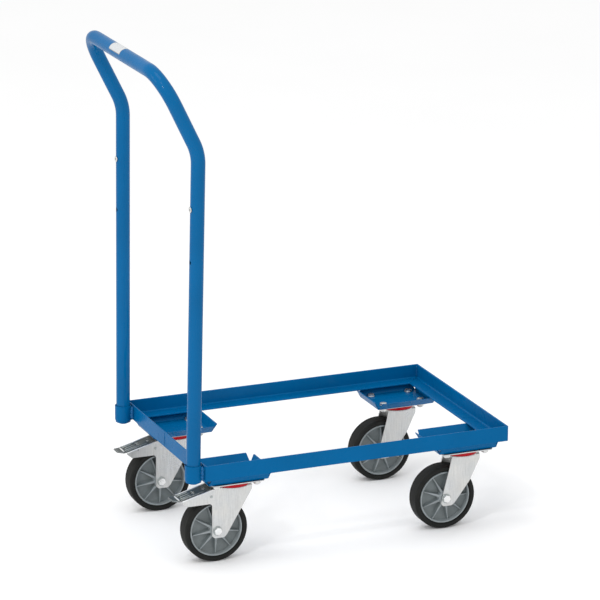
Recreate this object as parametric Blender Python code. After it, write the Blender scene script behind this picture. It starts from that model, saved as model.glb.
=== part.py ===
"""Push-bar dolly for 600 x 400 mm boxes: angle-steel frame, four swivel casters, lift-out push bar.

Metres, +Z up, wheels on the floor at Z = 0.  The long side of the frame lies along X, the push bar
stands at the -X end.  The origin is the middle of the outer box on the floor.
"""
import math

import bmesh
import bpy
import numpy as np

# ---------------------------------------------------------------- driving dimensions
FRAME_L = 0.616            # outer length of the angle frame
FRAME_W = 0.416            # outer width of the angle frame
ANGLE = 0.030              # leg of the equal angle
ANGLE_T = 0.003            # thickness of the angle
FRAME_TOP = 0.2065         # top edge of the upright web above the floor
FRAME_X0 = -0.26220        # outer face of the handle-end rail
MITRE_GAP = 0.0002         # setback of every mitred end
GAP = 0.0004               # clearance between touching pieces

CASTER_INSET_X = 0.0740    # swivel axis from the outer end face
CASTER_INSET_Y = 0.0600    # swivel axis from the outer long face
CASTER_H = 0.1585          # floor to the top of the caster plate
TRAIL = 0.0350             # wheel axle behind the swivel axis
PLATE_X = 0.105
PLATE_Y = 0.085
PLATE_T = 0.0025
HOLE_X = 0.080
HOLE_Y = 0.060
BOLT_R = 0.0040

TRAY_T = 0.0030            # sheet of the corner trays
TRAY_X0 = 0.0150           # floor of a tray, measured from the end face of the frame
TRAY_X1 = 0.1330
TRAY_Y0 = 0.0210           # floor of a tray, measured from the long outer face
TRAY_Y1 = 0.1080

WHEEL_R = 0.0625
TYRE_W = 0.0320
RIM_R = 0.0520
RIM_W = 0.0290
RIB_COUNT = 9
HUB_R = 0.0130
HUB_W = 0.0345
CHEEK_OUT = 0.0205         # outer face of a fork cheek from the wheel's middle plane
FORK_T = 0.0024
CROWN_Z = 0.1450
AXLE_R = 0.0040

TUBE_R = 0.01345           # 26.9 mm tube
TUBE_WALL = 0.0020
SOCKET_R = 0.0158
SOCKET_BORE = 0.0146
SOCKET_TOP = 0.2060
SOCKET_BOTTOM = 0.1680
BAR_INSET_Y = 0.0205       # push-bar leg axis from the outer long face
BAR_LEAN = math.radians(0.9)       # legs tip towards the frame
BAR_SPLAY = math.radians(0.85)     # legs spread apart towards the top
BAR_FOOT_Z = 0.1760
BAR_BEND_Z = 0.7980        # where the legs start to lean back
BAR_BACK = math.radians(26.0)
BAR_SLANT = 0.1625
BEND_LOW_R = 0.0900
BEND_TOP_R = 0.0600
BAR_HOLES = (0.5950, 0.6940)

PEDAL_PIVOT_X = -0.0120    # from the wheel axle
PEDAL_PIVOT_Z = 0.1310
PEDAL_W = 0.0330
PEDAL_T = 0.0022

Y_MID = 0.0
CORNERS = (("near_left", -1, -1), ("near_right", 1, -1), ("far_left", -1, 1), ("far_right", 1, 1))

LEDGE_UNDER = FRAME_TOP - ANGLE
LEDGE_TOP = LEDGE_UNDER + ANGLE_T
X_MIN = FRAME_X0
X_MAX = FRAME_X0 + FRAME_L
Y_MIN = Y_MID - FRAME_W / 2
Y_MAX = Y_MID + FRAME_W / 2


# ---------------------------------------------------------------- helpers
def clear_scene():
    for ob in list(bpy.data.objects):
        bpy.data.objects.remove(ob, do_unlink=True)


def material(name, colour, metallic, roughness):
    mat = bpy.data.materials.get(name)
    if mat is None:
        mat = bpy.data.materials.new(name)
        mat.use_nodes = True
        bsdf = mat.node_tree.nodes["Principled BSDF"]
        bsdf.inputs["Base Color"].default_value = (*colour, 1.0)
        bsdf.inputs["Metallic"].default_value = metallic
        bsdf.inputs["Roughness"].default_value = roughness
    return mat


def add_object(name, bm, mat, smooth=False, origin=(0.0, 0.0, 0.0)):
    bmesh.ops.recalc_face_normals(bm, faces=bm.faces[:])
    bmesh.ops.translate(bm, verts=bm.verts[:], vec=[-c for c in origin])
    mesh = bpy.data.meshes.new(name)
    bm.to_mesh(mesh)
    bm.free()
    mesh.materials.append(mat)
    ob = bpy.data.objects.new(name, mesh)
    ob.location = origin
    bpy.context.collection.objects.link(ob)
    if smooth:
        for poly in mesh.polygons:
            poly.use_smooth = True
        mesh.set_sharp_from_angle(angle=math.radians(35))
    return ob


def circle(cx, cy, r, n, phase=0.0):
    step = 2 * math.pi / n
    return [(cx + r * math.cos(phase + i * step), cy + r * math.sin(phase + i * step)) for i in range(n)]


def rounded(points, radii, seg=3):
    """Polygon with its corners rounded; a radius of 0 keeps the corner."""
    out = []
    n = len(points)
    for i in range(n):
        p = np.array(points[i])
        a = np.array(points[i - 1]) - p
        b = np.array(points[(i + 1) % n]) - p
        r = radii[i] if isinstance(radii, (list, tuple)) else radii
        if r <= 0:
            out.append(tuple(p))
            continue
        a = a / np.linalg.norm(a)
        b = b / np.linalg.norm(b)
        half = math.acos(max(-1.0, min(1.0, float(a @ b)))) / 2
        d = r / math.tan(half)
        centre = p + (a + b) / np.linalg.norm(a + b) * (r / math.sin(half))
        start = p + a * d
        end = p + b * d
        a0 = math.atan2(*(start - centre)[::-1])
        a1 = math.atan2(*(end - centre)[::-1])
        turn = (a1 - a0 + math.pi) % (2 * math.pi) - math.pi
        for k in range(seg + 1):
            t = a0 + turn * k / seg
            out.append((centre[0] + r * math.cos(t), centre[1] + r * math.sin(t)))
    return out


def fill(bm, outline, holes, place):
    """Flat faces between an outline and its holes; place maps (u, v) to a point."""
    loops = []
    edges = []
    for loop in [outline] + list(holes):
        verts = [bm.verts.new(place(u, v)) for u, v in loop]
        loops.append(verts)
        for i in range(len(verts)):
            edges.append(bm.edges.new((verts[i - 1], verts[i])))
    if holes:
        bmesh.ops.triangle_fill(bm, use_beauty=True, use_dissolve=False, edges=edges)
    else:
        bm.faces.new(loops[0])
    return loops


def thicken(bm, thickness):
    """Turn an oriented open sheet into a closed plate, offset to its back by thickness."""
    bm.verts.ensure_lookup_table()
    bm.normal_update()
    faces = list(bm.faces)
    border = [e for e in bm.edges if len(e.link_faces) == 1]
    twin = {}
    for v in list(bm.verts):
        normals = []
        for f in v.link_faces:
            n = np.array(f.normal)
            if not any(float(n @ m) > 0.9999 for m in normals):
                normals.append(n)
        rows = np.array(normals)
        shift = np.linalg.lstsq(rows, -thickness * np.ones(len(rows)), rcond=None)[0]
        twin[v] = bm.verts.new(np.array(v.co) + shift)
    for f in faces:
        bm.faces.new([twin[v] for v in reversed(f.verts)])
    for e in border:
        loop = e.link_loops[0]
        a = loop.vert
        b = loop.link_loop_next.vert
        bm.faces.new((b, a, twin[a], twin[b]))


def prism(outline, holes, place, thickness):
    """Plate with holes: the outline lies in one plane and the plate grows behind it."""
    bm = bmesh.new()
    fill(bm, outline, holes, place)
    bmesh.ops.recalc_face_normals(bm, faces=bm.faces[:])
    thicken(bm, thickness)
    return bm


def lathe(profile, n, centre, axis="Z", closed=True):
    """Turn (radius, height) points about an axis; a closed profile gives a ring, an open one a solid."""
    bm = bmesh.new()
    rings = []
    for r, h in profile:
        if r < 1e-7:
            rings.append([bm.verts.new(_axis_point(0, 0, h, centre, axis))])
            continue
        ring = [bm.verts.new(_axis_point(x, y, h, centre, axis)) for x, y in circle(0, 0, r, n)]
        rings.append(ring)
    count = len(rings) if closed else len(rings) - 1
    for k in range(count):
        a = rings[k]
        b = rings[(k + 1) % len(rings)]
        for i in range(n):
            j = (i + 1) % n
            quad = [a[i % len(a)], a[j % len(a)], b[j % len(b)], b[i % len(b)]]
            uniq = list(dict.fromkeys(quad))
            if len(uniq) > 2:
                bm.faces.new(uniq)
    return bm


def _axis_point(x, y, h, centre, axis):
    if axis == "Z":
        return (centre[0] + x, centre[1] + y, centre[2] + h)
    return (centre[0] + x, centre[1] + h, centre[2] + y)


def sweep(points, radius, n, inner=None, inner_n=None):
    """Round tube along a polyline; with an inner radius it is open at both ends."""
    pts = [np.array(p) for p in points]
    tangents = []
    for i, p in enumerate(pts):
        a = pts[max(i - 1, 0)]
        b = pts[min(i + 1, len(pts) - 1)]
        t = b - a
        tangents.append(t / np.linalg.norm(t))
    side = np.cross(tangents[0], (1.0, 0.0, 0.0))
    side = side / np.linalg.norm(side)
    bm = bmesh.new()
    skins = []
    for r in (radius,) if inner is None else (radius, inner):
        rings = []
        u = side
        for p, t in zip(pts, tangents):
            u = u - t * float(u @ t)
            u = u / np.linalg.norm(u)
            w = np.cross(t, u)
            rings.append([bm.verts.new(p + u * x + w * y) for x, y in circle(0, 0, r, n)])
        for a, b in zip(rings, rings[1:]):
            for i in range(n):
                j = (i + 1) % n
                bm.faces.new((a[i], a[j], b[j], b[i]))
        skins.append(rings)
    for end in (0, -1):
        if inner is None:
            bm.faces.new(skins[0][end])
            continue
        for i in range(n):
            j = (i + 1) % n
            bm.faces.new((skins[0][end][i], skins[0][end][j], skins[1][end][j], skins[1][end][i]))
    return bm


def fillet_path(points, radii, seg):
    """Polyline in space with its inner corners turned into arcs."""
    pts = [np.array(p, float) for p in points]
    out = [pts[0]]
    for i in range(1, len(pts) - 1):
        p = pts[i]
        a = pts[i - 1] - p
        b = pts[i + 1] - p
        a = a / np.linalg.norm(a)
        b = b / np.linalg.norm(b)
        half = math.acos(max(-1.0, min(1.0, float(a @ b)))) / 2
        r = radii[i - 1]
        centre = p + (a + b) / np.linalg.norm(a + b) * (r / math.sin(half))
        start = p + a * r / math.tan(half) - centre
        end = p + b * r / math.tan(half) - centre
        e1 = start / r
        e2 = end - e1 * float(end @ e1)
        e2 = e2 / np.linalg.norm(e2)
        turn = math.pi - 2 * half
        for k in range(seg[i - 1] + 1):
            t = turn * k / seg[i - 1]
            out.append(centre + r * (e1 * math.cos(t) + e2 * math.sin(t)))
    out.append(pts[-1])
    return out


def cut(ob, cutters):
    """Subtract helper objects with the exact solver and drop them."""
    for cutter in cutters:
        mod = ob.modifiers.new("cut", "BOOLEAN")
        mod.operation = "DIFFERENCE"
        mod.solver = "EXACT"
        mod.object = cutter
    graph = bpy.context.evaluated_depsgraph_get()
    mesh = bpy.data.meshes.new_from_object(ob.evaluated_get(graph))
    ob.modifiers.clear()
    ob.data = mesh
    for cutter in cutters:
        bpy.data.objects.remove(cutter, do_unlink=True)


# ---------------------------------------------------------------- materials
def paint():
    return material("blue_powder_coat", (0.0, 0.13, 0.35), 0.0, 0.38)


def zinc():
    return material("bright_zinc", (0.70, 0.71, 0.72), 0.85, 0.35)


def dark_zinc():
    return material("grey_zinc_pedal", (0.20, 0.22, 0.22), 0.7, 0.42)


def rubber():
    return material("charcoal_rubber", (0.035, 0.037, 0.038), 0.0, 0.72)


def grey_plastic():
    return material("grey_rim_plastic", (0.17, 0.19, 0.20), 0.0, 0.5)


def red_plastic():
    return material("red_seal_plastic", (0.48, 0.01, 0.02), 0.0, 0.4)


# ---------------------------------------------------------------- frame
def build_rail(name, length, origin, along, inward):
    """Angle with the upright web outside and the ledge inside at the bottom, both ends mitred."""
    profile = [(0.0, 0.0), (ANGLE, 0.0), (ANGLE, ANGLE_T), (ANGLE_T, ANGLE_T), (ANGLE_T, ANGLE), (0.0, ANGLE)]
    o = np.array(origin)
    along = np.array(along)
    inward = np.array(inward)
    bm = bmesh.new()
    ends = []
    for flip in (False, True):
        ring = []
        for u, z in profile:
            s = u + MITRE_GAP
            if flip:
                s = length - s
            ring.append(bm.verts.new(o + along * s + inward * u + np.array((0, 0, LEDGE_UNDER + z))))
        ends.append(ring)
    n = len(profile)
    for i in range(n):
        j = (i + 1) % n
        bm.faces.new((ends[0][i], ends[0][j], ends[1][j], ends[1][i]))
    bm.faces.new(ends[0])
    bm.faces.new(ends[1])
    return add_object(name, bm, paint())


def build_frame():
    build_rail("rail_near", FRAME_L, (X_MIN, Y_MIN, 0), (1, 0, 0), (0, 1, 0))
    build_rail("rail_far", FRAME_L, (X_MAX, Y_MAX, 0), (-1, 0, 0), (0, -1, 0))
    build_rail("rail_handle_end", FRAME_W, (X_MIN, Y_MAX, 0), (0, -1, 0), (1, 0, 0))
    build_rail("rail_front_end", FRAME_W, (X_MAX, Y_MIN, 0), (0, 1, 0), (-1, 0, 0))


def corner_point(sx, sy, dx, dy):
    """Point dx in from the end face and dy in from the long face of one frame corner."""
    x = (X_MIN + dx) if sx < 0 else (X_MAX - dx)
    y = (Y_MIN + dy) if sy < 0 else (Y_MAX - dy)
    return x, y


def build_tray(name, sx, sy):
    """Folded corner tray: a floor for the caster plate and four lips that slope up to the ledges."""
    z0 = CASTER_H + GAP
    rise = LEDGE_UNDER - GAP - z0
    reach_in = 0.0190          # how far the inner lips lean out
    reach_x = 0.0100
    reach_out = 0.0100
    x0 = TRAY_X0
    x1 = TRAY_X1
    y0 = TRAY_Y0
    y1 = TRAY_Y1
    floor = [(x0, y0), (x1, y0), (x1, y1), (x0, y1)]
    cx = CASTER_INSET_X
    cy = CASTER_INSET_Y
    holes = []
    for ex in (-1, 1):
        for ey in (-1, 1):
            holes.append(circle(cx + ex * HOLE_X / 2, cy + ey * HOLE_Y / 2, BOLT_R + GAP, 8))

    def place(u, v):
        x, y = corner_point(sx, sy, u, v)
        return (x, y, z0)

    bm = bmesh.new()
    loops = fill(bm, floor, holes, place)
    a, b, c, d = loops[0]

    def lip(p, q, pu, pv, qu, qv):
        px, py = corner_point(sx, sy, pu, pv)
        qx, qy = corner_point(sx, sy, qu, qv)
        vp = bm.verts.new((px, py, z0 + rise))
        vq = bm.verts.new((qx, qy, z0 + rise))
        bm.faces.new((p, q, vq, vp))

    lip(a, b, x0 + 0.004, y0 - reach_out, x1 - 0.001, y0 - reach_out)
    lip(b, c, x1 + reach_x, y0 + 0.002, x1 + reach_x, y1 + 0.005)
    lip(c, d, x1 - 0.002, y1 + reach_in, x0 + 0.002, y1 + reach_in)
    lip(d, a, x0 - reach_out, y1 - 0.004, x0 - reach_out, y0 + 0.004)
    bmesh.ops.recalc_face_normals(bm, faces=bm.faces[:])
    bm.normal_update()
    up = max(bm.faces, key=lambda f: abs(f.normal.z)).normal.z
    if up > 0:
        bmesh.ops.reverse_faces(bm, faces=bm.faces[:])
    thicken(bm, TRAY_T)
    top = LEDGE_UNDER - GAP
    for v in bm.verts:
        v.co.z = min(v.co.z, top)
    return add_object(name, bm, paint())


def build_socket(name, sy):
    """Cup for a push-bar leg: round outside, domed bottom."""
    x = FRAME_X0 - SOCKET_R - GAP
    y = sy * (FRAME_W / 2 - BAR_INSET_Y)
    r = SOCKET_R
    dome = 0.0110
    z0 = SOCKET_BOTTOM
    profile = [(0.0, z0)]
    for k in range(1, 5):
        t = math.radians(90) * k / 4
        profile.append((r * math.sin(t), z0 + dome * (1 - math.cos(t))))
    profile += [(r, SOCKET_TOP), (SOCKET_BORE, SOCKET_TOP), (SOCKET_BORE, z0 + 0.005), (0.0, z0 + 0.004)]
    bm = lathe(profile, 24, (x, y, 0.0), closed=False)
    return add_object(name, bm, paint(), smooth=True)


# ---------------------------------------------------------------- push bar
def bar_point(sy, z):
    """Point at height z on the axis of a leg, which passes through the middle of its socket."""
    rise = z - (SOCKET_TOP + BAR_FOOT_Z) / 2
    x = FRAME_X0 - SOCKET_R - GAP + rise * math.tan(BAR_LEAN)
    y = sy * (FRAME_W / 2 - BAR_INSET_Y + rise * math.tan(BAR_SPLAY))
    return np.array((x, y, z))


def build_bar():
    knee = [bar_point(sy, BAR_BEND_Z) for sy in (-1, 1)]
    back = np.array((-math.sin(BAR_BACK), 0.0, math.cos(BAR_BACK))) * BAR_SLANT
    feet = [bar_point(sy, BAR_FOOT_Z) for sy in (-1, 1)]
    top = [k + back + (0.0, sy * BAR_SLANT * math.sin(BAR_SPLAY), 0.0) for k, sy in zip(knee, (-1, 1))]
    corners = [feet[0], knee[0], top[0], top[1], knee[1], feet[1]]
    radii = (BEND_LOW_R, BEND_TOP_R, BEND_TOP_R, BEND_LOW_R)
    path = fillet_path(corners, radii, (3, 6, 6, 3))
    bm = sweep(path, TUBE_R, 16, inner=TUBE_R - TUBE_WALL)
    origin = tuple((feet[0] + feet[1]) / 2)
    ob = add_object("push_bar", bm, paint(), smooth=True, origin=origin)
    cutters = []
    for sy in (-1, 1):
        for z in BAR_HOLES:
            p = bar_point(sy, z)
            r = 0.0042
            hole = lathe([(0, 0), (r, 0), (r, 0.012), (0, 0.012)], 10, (0, 0, 0), closed=False)
            cutter = add_object("hole_cutter", hole, paint())
            cutter.rotation_euler = (0, math.radians(-90), 0)
            cutter.location = (p[0] - 0.006, p[1], p[2])
            cutter.hide_render = True
            cutter.display_type = "WIRE"
            cutters.append(cutter)
    bpy.context.view_layer.update()
    cut(ob, cutters)
    ob.data.materials.clear()
    ob.data.materials.append(paint())
    return ob


def build_rivet_nut(name, sy):
    """Threaded insert in the upper hole of a leg: flange outside, sleeve through the wall."""
    p = bar_point(sy, BAR_HOLES[1])
    flange_in = TUBE_R + GAP
    profile = [(0.0022, flange_in + 0.0012), (0.0058, flange_in + 0.0012), (0.0058, flange_in)]
    profile += [(0.0037, flange_in), (0.0037, flange_in - 0.0070), (0.0022, flange_in - 0.0070)]
    bm = lathe(profile, 12, (0, 0, 0))
    turn = np.array(((0, 0, -1), (0, 1, 0), (1, 0, 0)))
    for v in bm.verts:
        v.co = turn @ np.array(v.co) + p
    return add_object(name, bm, zinc(), smooth=True)


# ---------------------------------------------------------------- casters
def swivel_xy(sx, sy):
    return corner_point(sx, sy, CASTER_INSET_X, CASTER_INSET_Y)


def bolt_places(sx, sy):
    x, y = swivel_xy(sx, sy)
    out = []
    for ex in (-1, 1):
        for ey in (-1, 1):
            out.append((x + ex * HOLE_X / 2, y + ey * HOLE_Y / 2))
    return out


def build_caster_plate(name, sx, sy):
    x, y = swivel_xy(sx, sy)
    hx = PLATE_X / 2
    hy = PLATE_Y / 2
    outline = rounded([(x - hx, y - hy), (x + hx, y - hy), (x + hx, y + hy), (x - hx, y + hy)], 0.006, 2)
    holes = [circle(px, py, BOLT_R + GAP, 8) for px, py in bolt_places(sx, sy)]
    holes.append(circle(x, y, 0.0060 + GAP, 12))
    bm = prism(outline, holes, lambda u, v: (u, v, CASTER_H), PLATE_T)
    fix_down(bm, CASTER_H, PLATE_T)
    return add_object(name, bm, zinc())


def fix_down(bm, top, thickness):
    """Make sure a horizontal plate hangs below its top plane."""
    if max(v.co.z for v in bm.verts) > top + thickness / 2:
        for v in bm.verts:
            v.co.z -= thickness


def build_bolt(name, x, y):
    """Round-head bolt through tray and plate, with its hexagon nut below."""
    head = CASTER_H + GAP + TRAY_T + GAP
    nut = CASTER_H - PLATE_T - GAP
    profile = [(0.0, head + 0.0042), (0.0060, head + 0.0030), (0.0078, head), (BOLT_R, head)]
    profile += [(BOLT_R, nut), (0.0070, nut), (0.0070, nut - 0.0065), (0.0, nut - 0.0075)]
    bm = lathe(profile, 6, (x, y, 0.0), closed=False)
    return add_object(name, bm, zinc())


def build_kingpin(name, sx, sy):
    x, y = swivel_xy(sx, sy)
    z1 = CASTER_H - 0.0002
    profile = [(0.0, z1), (0.0060, z1), (0.0060, CROWN_Z - FORK_T - 0.0010), (0.0105, CROWN_Z - FORK_T - 0.0010)]
    profile += [(0.0105, CROWN_Z - FORK_T - 0.0050), (0.0, CROWN_Z - FORK_T - 0.0050)]
    bm = lathe(profile, 12, (x, y, 0.0), closed=False)
    return add_object(name, bm, zinc(), smooth=True)


def build_seal_ring(name, sx, sy):
    """Red ring over the ball race, turning with the fork."""
    x, y = swivel_xy(sx, sy)
    z0 = CROWN_Z + GAP
    z1 = CASTER_H - PLATE_T - GAP
    profile = [(0.0330, z0), (0.0350, z0 + 0.0010), (0.0350, z0 + 0.0050), (0.0320, z1), (0.0075, z1)]
    profile += [(0.0075, z0)]
    bm = lathe(profile, 24, (x, y, 0.0))
    return add_object(name, bm, red_plastic(), smooth=True)


def cheek_outline(braked):
    """Side view of a fork cheek, (x from the axle, z), starting with the edge under the crown."""
    if braked:
        pts = [(0.0180, CROWN_Z), (0.0690, CROWN_Z), (0.0690, 0.1370), (0.0190, 0.0535), (0.0140, 0.0480)]
        pts += [(-0.0060, 0.0480), (-0.0105, 0.0530), (-0.0105, 0.1170), (-0.0600, 0.1170)]
        pts += [(-0.0720, 0.1275), (-0.0100, 0.1440)]
        radii = [0, 0, 0.003, 0.004, 0.005, 0.004, 0.004, 0.005, 0.002, 0.002, 0.008]
    else:
        pts = [(0.0120, CROWN_Z), (0.0690, CROWN_Z), (0.0690, 0.1350), (0.0490, 0.0930), (0.0190, 0.0530)]
        pts += [(0.0120, 0.0470), (-0.0060, 0.0470), (-0.0105, 0.0530), (-0.0035, 0.0850)]
        radii = [0, 0, 0.004, 0.02, 0.004, 0.005, 0.005, 0.004, 0.02]
    return pts, radii


def build_fork(name, sx, sy, braked):
    """One folded sheet: crown plate on top, a cheek down each side."""
    cx, cy = swivel_xy(sx, sy)
    ax = cx - TRAIL
    pts, radii = cheek_outline(braked)
    outline = rounded(pts, radii, 2)
    hole = circle(0.0, WHEEL_R, AXLE_R + GAP, 10)
    bm = bmesh.new()
    tops = []
    for side in (-1, 1):
        loops = fill(bm, outline, [hole], lambda u, v: (ax + u, cy + side * CHEEK_OUT, v))
        tops.append((loops[0][0], loops[0][1]))
    xb = pts[1][0]
    crown_hole = circle(TRAIL, 0.0, 0.0072, 12)
    ring = [bm.verts.new((ax + u, cy + v, CROWN_Z)) for u, v in crown_hole]
    near = tops[0]
    far = tops[1]
    bow = []
    for k in range(1, 6):
        t = math.radians(-90 + 180 * k / 6)
        bow.append((xb + 0.0010 * math.cos(t), CHEEK_OUT * math.sin(t)))
    edges = []
    front = [near[1]] + [bm.verts.new((ax + u, cy + v, CROWN_Z)) for u, v in bow] + [far[1]]
    chain = [near[0]] + front + [far[0]]
    for a, b in zip(chain, chain[1:] + chain[:1]):
        e = bm.edges.get((a, b))
        edges.append(e if e else bm.edges.new((a, b)))
    for i in range(len(ring)):
        edges.append(bm.edges.new((ring[i - 1], ring[i])))
    bmesh.ops.triangle_fill(bm, use_beauty=True, use_dissolve=False, edges=edges)
    bmesh.ops.recalc_face_normals(bm, faces=bm.faces[:])
    bm.normal_update()
    crown = [f for f in bm.faces if abs(f.normal.z) > 0.9]
    if crown[0].normal.z < 0:
        bmesh.ops.reverse_faces(bm, faces=bm.faces[:])
    thicken(bm, FORK_T)
    return add_object(name, bm, zinc(), origin=(cx, cy, CROWN_Z))


def axle_centre(sx, sy):
    x, y = swivel_xy(sx, sy)
    return (x - TRAIL, y, WHEEL_R)


def build_axle(name, sx, sy):
    """Hexagon bolt and nut through both cheeks."""
    c = axle_centre(sx, sy)
    head = CHEEK_OUT + GAP
    profile = [(0.0, -head - 0.0050), (0.0075, -head - 0.0050), (0.0075, -head), (AXLE_R, -head)]
    profile += [(AXLE_R, head), (0.0075, head), (0.0075, head + 0.0060), (AXLE_R, head + 0.0060)]
    profile += [(AXLE_R, head + 0.0080), (0.0, head + 0.0080)]
    bm = lathe(profile, 6, c, axis="Y", closed=False)
    return add_object(name, bm, zinc(), origin=c)


def build_tyre(name, sx, sy):
    c = axle_centre(sx, sy)
    w = TYRE_W / 2
    r = WHEEL_R
    seat = RIM_R + 0.0002
    profile = [(seat, -w + 0.0015), (0.0596, -w), (r, -w + 0.0040), (r, w - 0.0040)]
    profile += [(0.0596, w), (seat, w - 0.0015)]
    bm = lathe(profile, 40, c, axis="Y")
    return add_object(name, bm, rubber(), smooth=True, origin=c)


def build_rim(name, sx, sy, phase):
    """Ribbed wheel centre: bore, hub, thin web with ribs on both sides, outer ring."""
    c = axle_centre(sx, sy)
    outer = RIM_R - 0.0002
    rows = [AXLE_R + GAP, HUB_R, HUB_R + 0.0008, RIM_R - 0.0036, RIM_R - 0.0026, outer]
    web = 0.0035
    low = [HUB_W / 2, HUB_W / 2, web, web, RIM_W / 2, RIM_W / 2]
    high = [HUB_W / 2, HUB_W / 2, 0.0140, 0.0105, RIM_W / 2, RIM_W / 2]
    columns = []
    for k in range(RIB_COUNT):
        mid = phase + 2 * math.pi * k / RIB_COUNT
        for offset, is_rib in ((-0.0019, False), (0.0, True), (0.0019, False)):
            columns.append((mid, offset, is_rib))
        columns.append((mid + math.pi / RIB_COUNT, 0.0, False))
    bm = bmesh.new()
    sides = []
    for s in (-1, 1):
        grid = []
        for mid, offset, is_rib in columns:
            col = []
            for r, zl, zh in zip(rows, low, high):
                angle = mid + offset / r
                h = zh if is_rib else zl
                point = (c[0] + r * math.cos(angle), c[1] + s * h, c[2] + r * math.sin(angle))
                col.append(bm.verts.new(point))
            grid.append(col)
        sides.append(grid)
        for i in range(len(grid)):
            a = grid[i - 1]
            b = grid[i]
            for k in range(len(rows) - 1):
                bm.faces.new((a[k], b[k], b[k + 1], a[k + 1]))
    n = len(columns)
    for edge in (0, len(rows) - 1):
        for i in range(n):
            a = sides[0][i - 1][edge]
            b = sides[0][i][edge]
            p = sides[1][i - 1][edge]
            q = sides[1][i][edge]
            bm.faces.new((a, b, q, p))
    return add_object(name, bm, grey_plastic(), origin=c)


def build_pedal(name, sx, sy):
    """Total-lock foot pedal: sloping sheet with a pierced arrow and a turned-down tip."""
    cx, cy = swivel_xy(sx, sy)
    ax = cx - TRAIL
    slope = math.atan2(0.0175, 0.0680)
    start = np.array((-0.0740, 0.1285))
    direction = np.array((math.cos(slope), math.sin(slope)))
    h = PEDAL_W / 2

    def place(u, v):
        p = start + direction * u
        return (ax + p[0], cy + v, p[1])

    length = 0.0660
    outline = [(0.0, -h), (length, -h), (length, h), (0.0, h)]
    arrow = [(0.0260, 0.0), (0.0360, -0.0060), (0.0360, 0.0060)]
    slot = rounded([(0.0520, -0.0060), (0.0560, -0.0060), (0.0560, 0.0060), (0.0520, 0.0060)], 0.0019, 2)
    bm = bmesh.new()
    loops = fill(bm, outline, [arrow, slot], place)
    a, b, c, d = loops[0]
    tip = start + np.array((-0.0120, 0.0015))
    va = bm.verts.new((ax + tip[0], cy - h * 0.62, tip[1]))
    vd = bm.verts.new((ax + tip[0], cy + h * 0.62, tip[1]))
    bm.faces.new((a, d, vd, va))
    for near, far, side in ((a, b, -1), (c, d, 1)):
        p = start + direction * 0.0450 + np.array((0.0, -0.0080))
        q = start + direction * 0.0630 + np.array((0.0, -0.0160))
        vp = bm.verts.new((ax + p[0], cy + side * h, p[1]))
        vq = bm.verts.new((ax + q[0], cy + side * h, q[1]))
        if side < 0:
            bm.faces.new((near, far, vq, vp))
        else:
            bm.faces.new((near, far, vp, vq))
    bmesh.ops.recalc_face_normals(bm, faces=bm.faces[:])
    bm.normal_update()
    sheet = max(bm.faces, key=lambda f: abs(f.normal.z))
    if sheet.normal.z < 0:
        bmesh.ops.reverse_faces(bm, faces=bm.faces[:])
    thicken(bm, PEDAL_T)
    pivot = (ax + PEDAL_PIVOT_X, cy, PEDAL_PIVOT_Z)
    return add_object(name, bm, dark_zinc(), origin=pivot)


def build_caster(tag, sx, sy):
    braked = sx < 0
    build_tray("tray_" + tag, sx, sy)
    build_caster_plate("caster_plate_" + tag, sx, sy)
    build_kingpin("kingpin_" + tag, sx, sy)
    for i, (x, y) in enumerate(bolt_places(sx, sy)):
        build_bolt("plate_bolt_%s_%d" % (tag, i + 1), x, y)
    build_seal_ring("seal_ring_" + tag, sx, sy)
    build_fork("fork_" + tag, sx, sy, braked)
    build_axle("axle_bolt_" + tag, sx, sy)
    build_tyre("tyre_" + tag, sx, sy)
    phase = {"near_left": 29.0, "near_right": 0.0, "far_left": 30.0, "far_right": 12.0}[tag]
    build_rim("rim_" + tag, sx, sy, math.radians(phase))
    if braked:
        build_pedal("brake_pedal_" + tag, sx, sy)


def main():
    clear_scene()
    build_frame()
    for tag, sy in (("near", -1), ("far", 1)):
        build_socket("bar_socket_" + tag, sy)
        build_rivet_nut("rivet_nut_" + tag, sy)
    build_bar()
    for tag, sx, sy in CORNERS:
        build_caster(tag, sx, sy)


main()
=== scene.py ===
"""Looks of the push-bar box dolly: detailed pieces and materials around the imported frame.

Metres, +Z up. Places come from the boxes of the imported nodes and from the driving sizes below.
"""

import math

import bmesh
import bpy
import numpy as np
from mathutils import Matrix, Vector


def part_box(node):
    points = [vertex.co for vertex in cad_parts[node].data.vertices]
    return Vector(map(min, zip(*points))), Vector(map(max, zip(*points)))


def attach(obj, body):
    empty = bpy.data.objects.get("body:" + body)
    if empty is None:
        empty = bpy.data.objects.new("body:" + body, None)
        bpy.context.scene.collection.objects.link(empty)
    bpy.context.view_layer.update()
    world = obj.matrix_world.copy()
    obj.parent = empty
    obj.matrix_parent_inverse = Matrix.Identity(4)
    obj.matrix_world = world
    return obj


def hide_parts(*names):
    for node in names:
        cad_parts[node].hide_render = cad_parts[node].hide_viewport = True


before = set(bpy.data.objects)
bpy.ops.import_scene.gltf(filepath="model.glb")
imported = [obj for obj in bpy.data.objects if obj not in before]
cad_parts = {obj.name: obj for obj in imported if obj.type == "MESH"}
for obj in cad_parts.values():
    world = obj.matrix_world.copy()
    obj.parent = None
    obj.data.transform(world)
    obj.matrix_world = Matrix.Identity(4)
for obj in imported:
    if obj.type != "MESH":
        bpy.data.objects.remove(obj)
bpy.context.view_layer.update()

# ---------------------------------------------------------------- driving sizes
ANGLE = 0.030              # leg of the equal angle and its thickness
ANGLE_T = 0.003
MITRE_GAP = 0.0002
TUBE_R = 0.01345           # push-bar tube
TUBE_SKIN = 0.0002         # the visible tube is this much thinner, which leaves room for the label
TUBE_WALL = 0.0020
BAR_FOOT_Z = 0.1760
BAR_BEND_Z = 0.7980
BAR_LEAN = math.radians(0.9)
BAR_SPLAY = math.radians(0.85)
BAR_BACK = math.radians(26.0)
BAR_SLANT = 0.1625
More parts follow.
